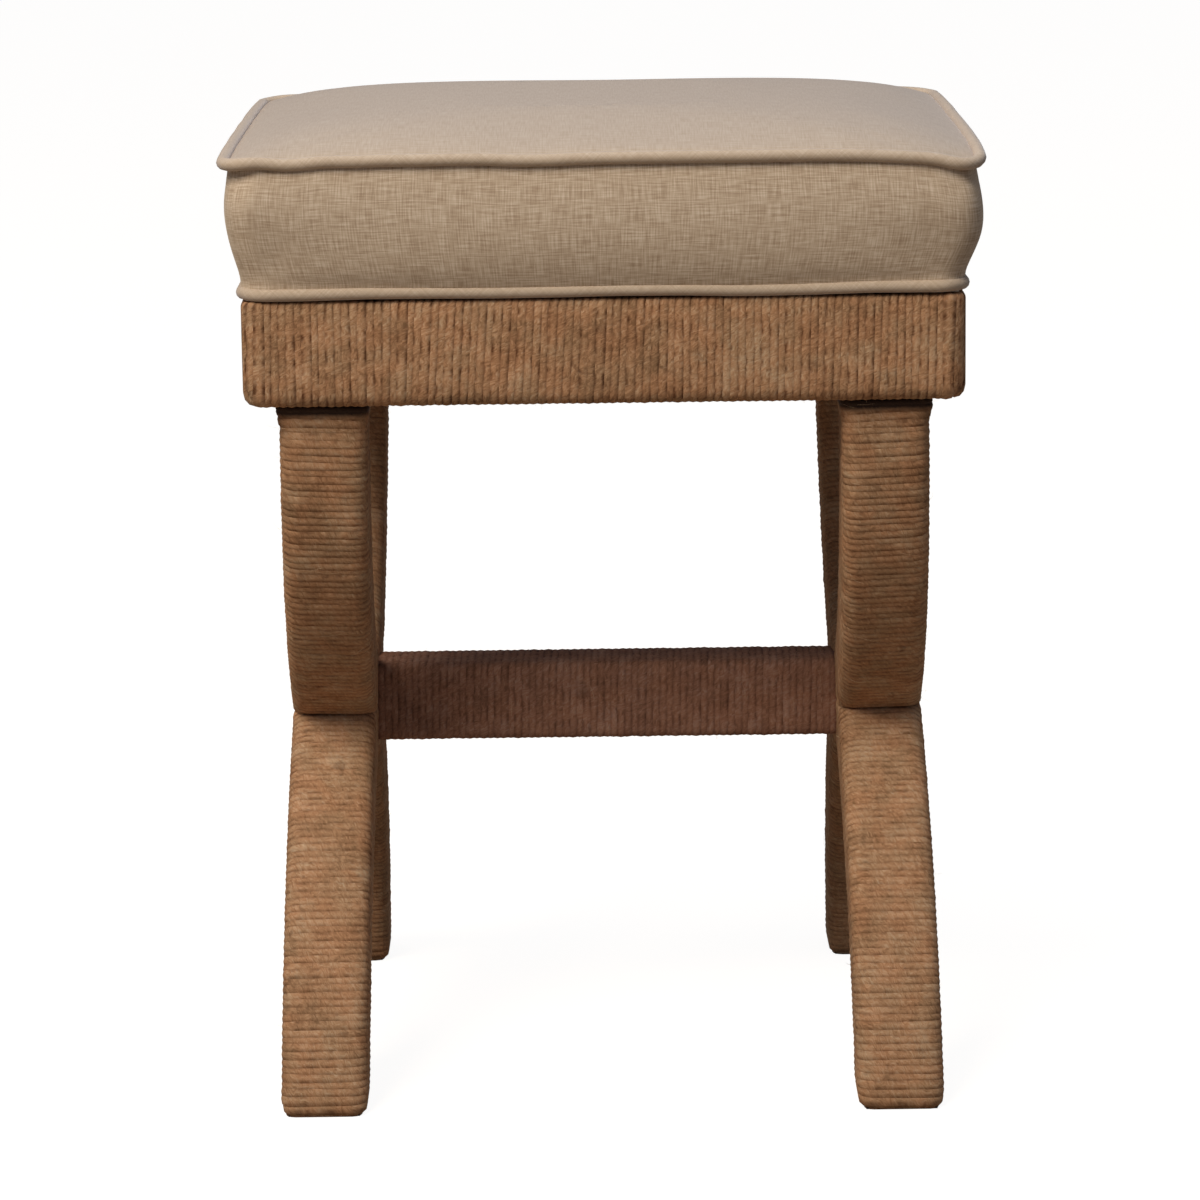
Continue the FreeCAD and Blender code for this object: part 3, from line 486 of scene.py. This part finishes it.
wind_rail("front_rail_winding", half_w, half_d, (1, 0, 0), (0, -1, 0))
wind_rail("rear_rail_winding", half_w, half_d, (-1, 0, 0), (0, 1, 0))
wind_rail("left_rail_winding", half_d, half_w, (0, -1, 0), (-1, 0, 0))
wind_rail("right_rail_winding", half_d, half_w, (0, 1, 0), (1, 0, 0))

# The arms are arcs: an upper one meets the crossing at the tilt and ends at the leg top, a lower one ends at
# the floor with the lean of the foot.
rise = apron_low - cross
top_reach = half_d - top_inset
upper_radius = (top_reach ** 2 + rise ** 2) / (2 * (rise * math.sin(tilt) - top_reach * math.cos(tilt)))
lower_radius = cross / (math.sin(tilt) - math.sin(foot_lean))
leg_middle = leg_out - leg_width / 2
# The middle of an arm's last turn lies this far from the apron or the floor.
rest_gap = inside * 1.06


def wind_arm(name, sx, sy, sz, radius):
    """An arm's twine, from the crease at the crossing to the apron or the floor. sx, sy and sz are 1 or -1
    for the right, rear and upper arms and the others."""
    lift = radius * math.sin(tilt)
    centre = np.array((0.0, -sy * radius * math.cos(tilt), cross + sz * lift))
    limit = apron_low if sz > 0 else 0.0

    def extents(a):
        """How far in and out the arm reaches at angle a, where the creases may cut it off."""
        high = np.minimum(radius + leg_thick / 2 - inside, (lift - inside) / np.cos(a))
        low = np.maximum(radius - leg_thick / 2 + inside, (radius * math.cos(tilt) + inside) / np.sin(a))
        return low, high

    # The first turn lies where the arm is 1.2 mm thick between the strands' middles.
    last = math.acos((abs(centre[2] - limit) + rest_gap) / radius)
    probe = np.linspace(math.pi / 2 - tilt, last, 6000)
    low, high = extents(probe)
    first = probe[high - low > 1.2 * MM][0]
    turns = (last - first) * radius / leg_pitch + 1

    def station(t):
        # The turns start square to the arm and swing level towards its end, where the last one lies.
        a = np.minimum(first + t * leg_pitch / radius, last)
        b = a + (math.pi / 2 - last) * ((a - first) / (last - first)) ** 2
        low, high = extents(a)
        zero = np.zeros(len(t))
        square = np.stack([zero, sy * np.sin(a), -sz * np.cos(a)], 1)
        one = np.stack([zero, sy * np.sin(b), -sz * np.cos(b)], 1)
        two = np.broadcast_to((sx * 1.0, 0.0, 0.0), (len(t), 3))
        middle = centre + radius * (square - one)
        # Where an arm is cut off by a crease, by 4 mm or more, the turn's corners are tight.
        full, tight, cut = leg_corner - inside, 0.6 * MM, 4 * MM
        cut_high = np.clip(radius + leg_thick / 2 - inside - high, 0, cut) / cut
        cut_low = np.clip(low - radius + leg_thick / 2 - inside, 0, cut) / cut
        outer, inner = full - (full - tight) * cut_high, full - (full - tight) * cut_low
        near = zero + leg_out - leg_width + inside
        far = zero + leg_out - inside
        if sz > 0:
            # The last turns under the apron stand out as a collar, most on the outer side.
            collar = MM * np.clip(1.6 - (last - a) * radius / (5 * MM), 0, 1)
            high, near, far = high + 0.4 * collar, near - 0.6 * collar, far + 1.8 * collar
        return middle, one, two, square, low, high, near, far, (outer, inner, inner, outer)

    def stand(path, normal, side):
        """Rounds the toe, leans the X end outwards about its crossing and keeps it between floor and apron.
        The strand is pressed flat except in the last 6 mm under the apron."""
        drop = np.clip(toe_corner - path[:, 2], 0, toe_corner - inside)
        path = path - normal * (toe_corner - np.sqrt(toe_corner ** 2 - drop ** 2))[:, None]
        spin = np.array(Matrix.Rotation(-sx * splay, 3, "Y")).T
        crossing = np.array((sx * leg_middle, 0, cross))
        path = (path - crossing) @ spin + crossing
        path[:, 2] = np.clip(path[:, 2], rest_gap, apron_low - inside)
        pressed = np.clip((apron_low - 2 * MM - path[:, 2]) / (4 * MM), 0, 1)
        return path, normal @ spin, side @ spin, pressed

    wound(name, station, leg_twine, 1.2 * leg_pitch, turns, 3, 3, stand)


for sx, side in ((-1, "left"), (1, "right")):
    for sy, end in ((-1, "front"), (1, "rear")):
        wind_arm(f"{side}_{end}_upper_winding", sx, sy, 1, upper_radius)
        wind_arm(f"{side}_{end}_lower_winding", sx, sy, -1, lower_radius)


def bar_station(t):
    """The stretcher's turns, whose strands stand upright across its front. The twine starts and ends with
    most of a turn lying square against the legs."""
    x = np.clip((t - 0.6) * bar_pitch - bar_reach + inside, inside - bar_reach, bar_reach - inside)
    one = np.broadcast_to((0.0, -1.0, 0.0), (len(t), 3))
    two = np.broadcast_to((0.0, 0.0, 1.0), (len(t), 3))
    middle = np.stack([x, 0 * x, 0 * x + cross], 1)
    edge = np.full(len(t), bar_half - inside)
    return middle, one, two, one, -edge, edge, -edge, edge, [bar_corner - inside] * 4


bar_turns = 2 * (bar_reach - inside) / bar_pitch + 1.5
wound("stretcher_winding", bar_station, bar_twine, 1.2 * bar_pitch, bar_turns, 3, 3)

# Hairs: how many are tried, how thick the short and the long ones are at the root, and their rings.
hair_count, hair, long_hair, rings = 500, 0.05 * MM, 0.1 * MM, 6
# A few long ones came undone: root, way out, way along, length and how far they stand off.
undone = (((0.0755, -0.1622, 0.392), (0, -1, 0), (0.5, 0, 1), 20 * MM, 2.5 * MM),
          ((0.121, -0.050, 0.170), (-0.4, -1, 0), (1, 0, -0.4), 24 * MM, 5 * MM),
          ((0.124, -0.046, 0.176), (-0.5, -1, 0.2), (1, 0, 0.5), 16 * MM, 4 * MM),
          ((-0.062, -0.1622, 0.381), (0, -1, 0), (-0.3, 0, 1), 14 * MM, 2 * MM))


def loose_fibres():
    """Hairs that stand off the twine, three-sided and thin, 5 to 12 mm long unless they came undone."""
    hairs = []
    for _ in range(hair_count):
        path, normal = strands[rng.integers(len(strands))]
        i = rng.integers(2, len(path) - 4)
        ahead = path[i + 1] - path[i - 1]
        # None starts close to the floor, or low down on a strand that runs upright.
        upright = abs(ahead[2]) > 0.8 * np.linalg.norm(ahead)
        if path[i][2] < (40 * MM if upright else 14 * MM):
            continue
        length, stand_off = rng.uniform(5, 12) * MM, rng.uniform(0.5, 1.8) * MM
        hairs.append((path[i] + normal[i] * inside * 0.9, normal[i], ahead, length, stand_off, hair))
    for root, normal, ahead, length, stand_off in undone:
        root, normal, ahead = (np.array(v, float) for v in (root, normal, ahead))
        hairs.append((root, normal, ahead, length, stand_off, long_hair))
    verts, faces = [], []
    for root, normal, ahead, length, stand_off, thick in hairs:
        ahead = ahead / max(np.linalg.norm(ahead), 1e-9)
        if root[2] + ahead[2] * length < 2 * MM + stand_off:
            continue
        across = np.cross(ahead, normal)
        drift = rng.normal(0, 0.22)
        base = len(verts)
        for j, u in enumerate(np.linspace(0, 1, rings)):
            middle = root + ahead * length * u + across * length * drift * u * u
            middle = middle + normal * stand_off * math.sin(u * 2.4)
            for angle in (0.0, 2.1, 4.2):
                way = normal * math.cos(angle) + across * math.sin(angle)
                verts.append(tuple(middle + thick * (1 - 0.6 * u) * way))
            if j:
                a = base + 3 * j
                for m in range(3):
                    n = (m + 1) % 3
                    faces.append((a - 3 + m, a + m, a + n, a - 3 + n))
        tip = base + 3 * (rings - 1)
        faces.append((base, base + 1, base + 2))
        faces.append((tip + 2, tip + 1, tip))
    piece = piece_of("loose_fibres", verts, faces)
    bpy.context.view_layer.objects.active = piece
    bpy.ops.object.mode_set(mode="EDIT")
    bpy.ops.mesh.select_all(action="SELECT")
    bpy.ops.mesh.normals_make_consistent(inside=False)
    bpy.ops.object.mode_set(mode="OBJECT")
    bpy.ops.object.select_all(action="DESELECT")
    piece.data.materials.append(hair_finish)
    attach(piece, "root")


loose_fibres()


# Cushion

def rounded(s, t, hx, hy):
    """Grid places s, t in -1..1 on a rectangle with the pad's rounded corners."""
    r = pad_corner
    x, y = s * hx, t * hy
    over_x = np.clip((np.abs(x) - (hx - r)) / r, 0, 1)
    over_y = np.clip((np.abs(y) - (hy - r)) / r, 0, 1)
    at_corner = (over_x > 0) & (over_y > 0)
    round_x = over_x * np.sqrt(1 - over_y * over_y / 2)
    round_y = over_y * np.sqrt(1 - over_x * over_x / 2)
    x = np.where(at_corner, np.sign(x) * (hx - r + round_x * r), x)
    y = np.where(at_corner, np.sign(y) * (hy - r + round_y * r), y)
    return x, y


def seam_sway(x, y):
    """The upper seam isn't level: along the front it dips at the left, a little left of the middle and,
    most, just before the right corner; the rear corners sag slightly. Sizes here are millimetres."""
    front = np.clip(-y / half_d, 0, 1) ** 3
    rear = np.clip(y / half_d, 0, 1) ** 3
    x_mm = x / MM
    left = (1.3 + 0.6 * np.cos((x_mm + 153) / 18 * math.pi)) / (1 + np.exp((x_mm + 130) / 9))
    middle = 0.9 * np.exp(-((x_mm + 38) / 22) ** 2)
    right = 2.8 / (1 + np.exp((146 - x_mm) / 12))
    corner = 3.0 * front ** 3 * np.exp(-((x_mm - 180) / 13) ** 2)
    rear_corners = 1.5 * (np.abs(x) / half_w) ** 8
    return -MM * (front * (left + middle + right + corner) + rear * rear_corners)


def level_seam(x, y):
    """The lower seam is drawn down level."""
    return 0 * x


# The band from the upper seam down: share of its height, and how far it stands out over the apron.
band_rows = ((0.955, 5.2 * MM), (0.89, 5.7 * MM), (0.8, 6.3 * MM), (0.7, 6.8 * MM), (0.6, 6.8 * MM),
             (0.5, 6.2 * MM), (0.4, 5.2 * MM), (0.3, 3.7 * MM), (0.2, 1.9 * MM), (0.12, 0.5 * MM),
             (0.06, -0.4 * MM))
# Cells of the panel's grid across and to the back.
cells_x, cells_y = 76, 68


def band_row(s, t, share, out, pucker):
    """One row of points of the band, at rim places s, t."""
    x, y = rounded(s, t, half_w + out, half_d + out)
    # Front and back are full right up to the piping and draw in below.
    full = 1.4 * share ** 3 + 1.7 * math.exp(-((share - 0.7) / 0.22) ** 2)
    y = y + np.sign(y) * full * MM * np.clip(np.abs(y) / half_d, 0, 1) ** 8
    # The right side is filled out lower down than the left.
    x = x + 3.0 * MM * np.clip(x / half_w, 0, 1) ** 6 * math.exp(-((share - 0.4) / 0.24) ** 2)
    # The band puckers, and is hollow under the piping, where it is eased round the upper corners.
    near_x = np.clip(np.abs(x) / half_w - 0.86, 0, 0.14) / 0.14
    near_y = np.clip(np.abs(y) / half_d - 0.86, 0, 0.14) / 0.14
    ease = (pucker * share ** 2 - 2 * MM * math.exp(-((share - 0.9) / 0.09) ** 2)) * near_x * near_y
    x, y = x * (1 + ease / half_w), y * (1 + ease / half_d)
    z = low_seam + (high_seam - low_seam) * share + seam_sway(x, y) * share
    return np.stack([x, y, z], 1)


def make_cushion():
    """Crowned closed cover as one mesh: top panel, boxing between the seams, flat underside."""
    s, t = np.meshgrid(np.linspace(-1, 1, cells_x + 1), np.linspace(-1, 1, cells_y + 1), indexing="ij")
    number = np.arange(s.size).reshape(s.shape)
    rim = np.concatenate([number[:-1, 0], number[-1, :-1], number[:0:-1, -1], number[0, :0:-1]])
    s, t = s.ravel(), t.ravel()

    def swell(from_edge):
        """How much of its rise the panel has this far from an edge."""
        return 1 - (1 - np.clip(from_edge / (114 * MM), 0, 1)) ** 3.2

    x, y = rounded(s, t, half_w + panel_out, half_d + panel_out)
    risen = swell(half_w + panel_out - np.abs(x)) * swell(half_d + panel_out - np.abs(y))
    # At the front the panel leaves the seam near the top of the piping, so that the two read as one soft
    # roll; along the sides it starts lower and leaves a groove.
    start = (1.9 - 1.1 * np.clip(np.abs(x) / half_w, 0, 1) ** 14) * MM
    top = np.stack([x, y, high_seam + start + seam_sway(x, y) + panel_rise * risen ** 0.7], 1)
    pucker = rng.normal(0, 0.5 * MM, len(rim))
    rows = [band_row(s[rim], t[rim], share, out, pucker) for share, out in band_rows]
    x, y = rounded(s, t, half_w + under_out, half_d + under_out)
    under = np.stack([x, y, np.full_like(x, low_seam + 0.2 * MM)], 1)

    verts = np.concatenate([top] + rows + [under])
    ring = len(rim)
    base = len(top) + ring * len(rows)
    cells = np.stack([number[:-1, :-1], number[1:, :-1], number[1:, 1:], number[:-1, 1:]], -1).reshape(-1, 4)
    loops = [rim] + [len(top) + ring * i + np.arange(ring) for i in range(len(rows))] + [base + rim]
    heights = [high_seam] + [row[:, 2].mean() for row in rows] + [low_seam]
    steps = np.linalg.norm(np.diff(top[np.append(rim, rim[0])], axis=0), axis=1)
    walk = np.concatenate([[0], np.cumsum(steps)])
    faces, uv = [cells], [top[cells][..., :2]]
    here, after = walk[:-1], walk[1:]
    for upper, lower, high, low in zip(loops[:-1], loops[1:], heights[:-1], heights[1:]):
        faces.append(np.stack([upper, lower, np.roll(lower, -1), np.roll(upper, -1)], 1))
        corners = ((here, high), (here, low), (after, low), (after, high))
        uv.append(np.stack([np.stack([place, np.full(ring, level)], 1) for place, level in corners], 1))
    faces.append(cells[:, ::-1] + base)
    uv.append(under[cells[:, ::-1]][..., :2])
    piece = piece_of("cushion", verts.tolist(), np.concatenate(faces).tolist(), np.concatenate(uv))
    # The top panel has its own finish.
    mesh = piece.data
    mesh.materials.append(band_finish)
    mesh.materials.append(top_finish)
    on_top = np.arange(len(mesh.polygons)) < len(cells)
    mesh.polygons.foreach_set("material_index", on_top.astype(np.int32))
    mesh.update()
    held = piece.vertex_groups.new(name="seams")
    held.add([int(v) for v in rim], 1.0, "REPLACE")
    held.add(list(range(base, len(verts))), 1.0, "REPLACE")
    return piece


def inflate(piece):
    """Swells the cover between its seams with cloth under pressure, no point by more than the most."""
    start = np.empty(len(piece.data.vertices) * 3)
    piece.data.vertices.foreach_get("co", start)
    cloth = piece.modifiers.new("swell", "CLOTH")
    cloth.settings.quality = 6
    cloth.settings.use_pressure = True
    cloth.settings.uniform_pressure_force = 4.0
    cloth.settings.effector_weights.gravity = 0.0
    cloth.settings.vertex_group_mass = "seams"
    cloth.point_cache.frame_start, cloth.point_cache.frame_end = 1, swell_frames
    for step in range(1, swell_frames + 1):
        bpy.context.scene.frame_set(step)
    shaped = piece.evaluated_get(bpy.context.evaluated_depsgraph_get()).data
    end = np.empty_like(start)
    shaped.vertices.foreach_get("co", end)
    piece.modifiers.remove(cloth)
    bpy.context.scene.frame_set(1)
    start, end = start.reshape(-1, 3), end.reshape(-1, 3)
    move = end - start
    far = np.linalg.norm(move, axis=1)
    move *= np.minimum(1, most_swell / np.maximum(far, 1e-9))[:, None]
    piece.data.vertices.foreach_set("co", (start + move).ravel())
    piece.data.update()


cushion = make_cushion()
inflate(cushion)
bpy.context.view_layer.objects.active = cushion
cushion.select_set(True)
smooth = cushion.modifiers.new("smooth", "SUBSURF")
smooth.levels = smooth.render_levels = 1
bpy.ops.object.modifier_apply(modifier="smooth")
bpy.ops.object.shade_smooth()
bpy.ops.object.select_all(action="DESELECT")
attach(cushion, "root")
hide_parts("top_panel", "boxing_band", "foam_core")


def piping(name, out, level, sway, wave):
    """Fabric-covered cord sewn into a seam. Out is how far it stands out over the apron, wave how much it
    ripples."""
    hx, hy = half_w + out - piping_radius, half_d + out - piping_radius
    # Points along one side; the four sides follow each other round the pad.
    s = np.linspace(-1, 1, 161)[:-1]
    one = np.ones(len(s))
    edge = np.concatenate([np.stack(pair, 1) for pair in ((s, -one), (one, s), (-s, one), (-one, -s))])
    x, y = rounded(edge[:, 0], edge[:, 1], hx, hy)
    path = np.stack([x, y, level + sway(x, y)], 1)
    ripple = wander(len(path) - 1, 14, wave)[np.arange(len(path)) % (len(path) - 1)]
    path[:, 2] += np.clip(ripple, -0.45 * MM, 0.45 * MM)
    normal = np.broadcast_to((0.0, 0.0, 1.0), path.shape)
    piece = tube(name, path, normal, piping_radius, 12, closed=True)
    piece.data.materials.append(bias_finish)
    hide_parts(name)


piping("upper_piping", 10 * MM, high_seam, seam_sway, 0.15 * MM)
piping("lower_piping", 2.5 * MM, low_seam, level_seam, 0.3 * MM)


# Lining under the seat

bpy.ops.mesh.primitive_grid_add(x_subdivisions=36, y_subdivisions=32, size=1.0, location=(0, 0, 0))
lining = bpy.context.object
lining.name = lining.data.name = "seat_lining"
bpy.ops.object.mode_set(mode="EDIT")
bpy.ops.transform.resize(value=(lining_w, lining_d, 1))
bpy.ops.transform.translate(value=(0, 0, lining_level))
bpy.ops.object.mode_set(mode="OBJECT")
cloth_wall = lining.modifiers.new("thickness", "SOLIDIFY")
cloth_wall.thickness, cloth_wall.offset = lining_thick, 0.0
bpy.ops.object.modifier_apply(modifier="thickness")
bpy.ops.object.shade_smooth_by_angle(angle=math.radians(40))
bpy.ops.object.select_all(action="DESELECT")
lining.data.materials.append(lining_finish)
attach(lining, "root")
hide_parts("base_cloth")


# Timber and fasteners

for finish, labels in (
        (pine_x, ("front_rail", "rear_rail", "stretcher", "stretcher_dowels")),
        (pine_y, ("left_rail", "right_rail", "left_leg_bearer", "right_leg_bearer", "rail_dowels")),
        (pine_z, ("left_front_leg", "left_rear_leg", "right_front_leg", "right_rear_leg")),
        (ply_finish, ("seat_board",)),
        (zinc_finish, ("bearer_screws", "leg_screws", "seat_screws", "side_screws")),
        (black_finish, ("stretcher_bolts", "barrel_nuts"))):
    for label in labels:
        mesh = bpy.data.objects[label].data
        mesh.materials.clear()
        mesh.materials.append(finish)


# Stage, light and camera

scene = bpy.context.scene
scene.view_settings.view_transform = "Standard"

bpy.ops.mesh.primitive_plane_add(size=40, location=(0, 0, -0.2 * MM))
floor = bpy.context.object
floor.name = "floor"
bpy.ops.object.select_all(action="DESELECT")
# The floor looks white and throws only a dim warm light back on the stool.
material, tree = blank("pale_floor")
rays = add(tree, "ShaderNodeLightPath")
seen = add(tree, "ShaderNodeMath", {0: rays.outputs["Is Camera Ray"], 1: rays.outputs["Is Glossy Ray"]},
           operation="MAXIMUM")
seen = add(tree, "ShaderNodeMath", {0: seen, 1: rays.outputs["Is Transmission Ray"]}, operation="MAXIMUM")
glow = add(tree, "ShaderNodeMath", {0: seen, 1: 0.93}, operation="MULTIPLY")
floor.data.materials.append(surface(material, {
    "Base Color": (0.265, 0.208, 0.153, 1), "Roughness": 1.0, "Specular IOR Level": 0.0,
    "Emission Color": (1, 1, 1, 1), "Emission Strength": glow}))

world = bpy.data.worlds.new("studio")
scene.world = world
world.use_nodes = True
backdrop = world.node_tree.nodes["Background"]
backdrop.inputs["Color"].default_value = (0.82, 0.94, 1.17, 1)
backdrop.inputs["Strength"].default_value = 0.24


def softbox(name, place, aim, size, power, colour):
    """A square lamp of this size in metres and power in watts, turned to face its aim."""
    lamp = bpy.data.lights.new(name, "AREA")
    lamp.shape, lamp.size = "SQUARE", size
    lamp.energy = power
    lamp.color = colour
    holder = bpy.data.objects.new(name, lamp)
    bpy.context.collection.objects.link(holder)
    holder.location = place
    holder.rotation_euler = (Vector(aim) - Vector(place)).to_track_quat("-Z", "Y").to_euler()


# The main light stands left of the camera, a weaker cool one hangs over the seat.
softbox("key", (-1.16, -1.72, 2.60), (0, 0, 0.3), 1.4, 82, (1.0, 0.95, 0.87))
softbox("overhead", (-0.2, -0.1, 2.7), (0, 0, 0.4), 1.2, 17, (0.82, 0.96, 1.2))

# The camera as fitted to the photo: how far it is turned, looks down and is rolled, in degrees.
pan, pitch, roll = -0.159, 11.254, -0.72
camera = bpy.data.objects.new("camera", bpy.data.cameras.new("camera"))
bpy.context.collection.objects.link(camera)
camera.data.sensor_width = 36
camera.data.lens = 143.9
camera.data.clip_end = 100
camera.location = (-0.0100, -2.5293, 0.7382)
aimed = Matrix.Identity(4)
for degrees, axis in ((pan, "Z"), (90 - pitch, "X"), (roll, "Z")):
    aimed = aimed @ Matrix.Rotation(math.radians(degrees), 4, axis)
camera.rotation_euler = aimed.to_euler()
scene.camera = camera
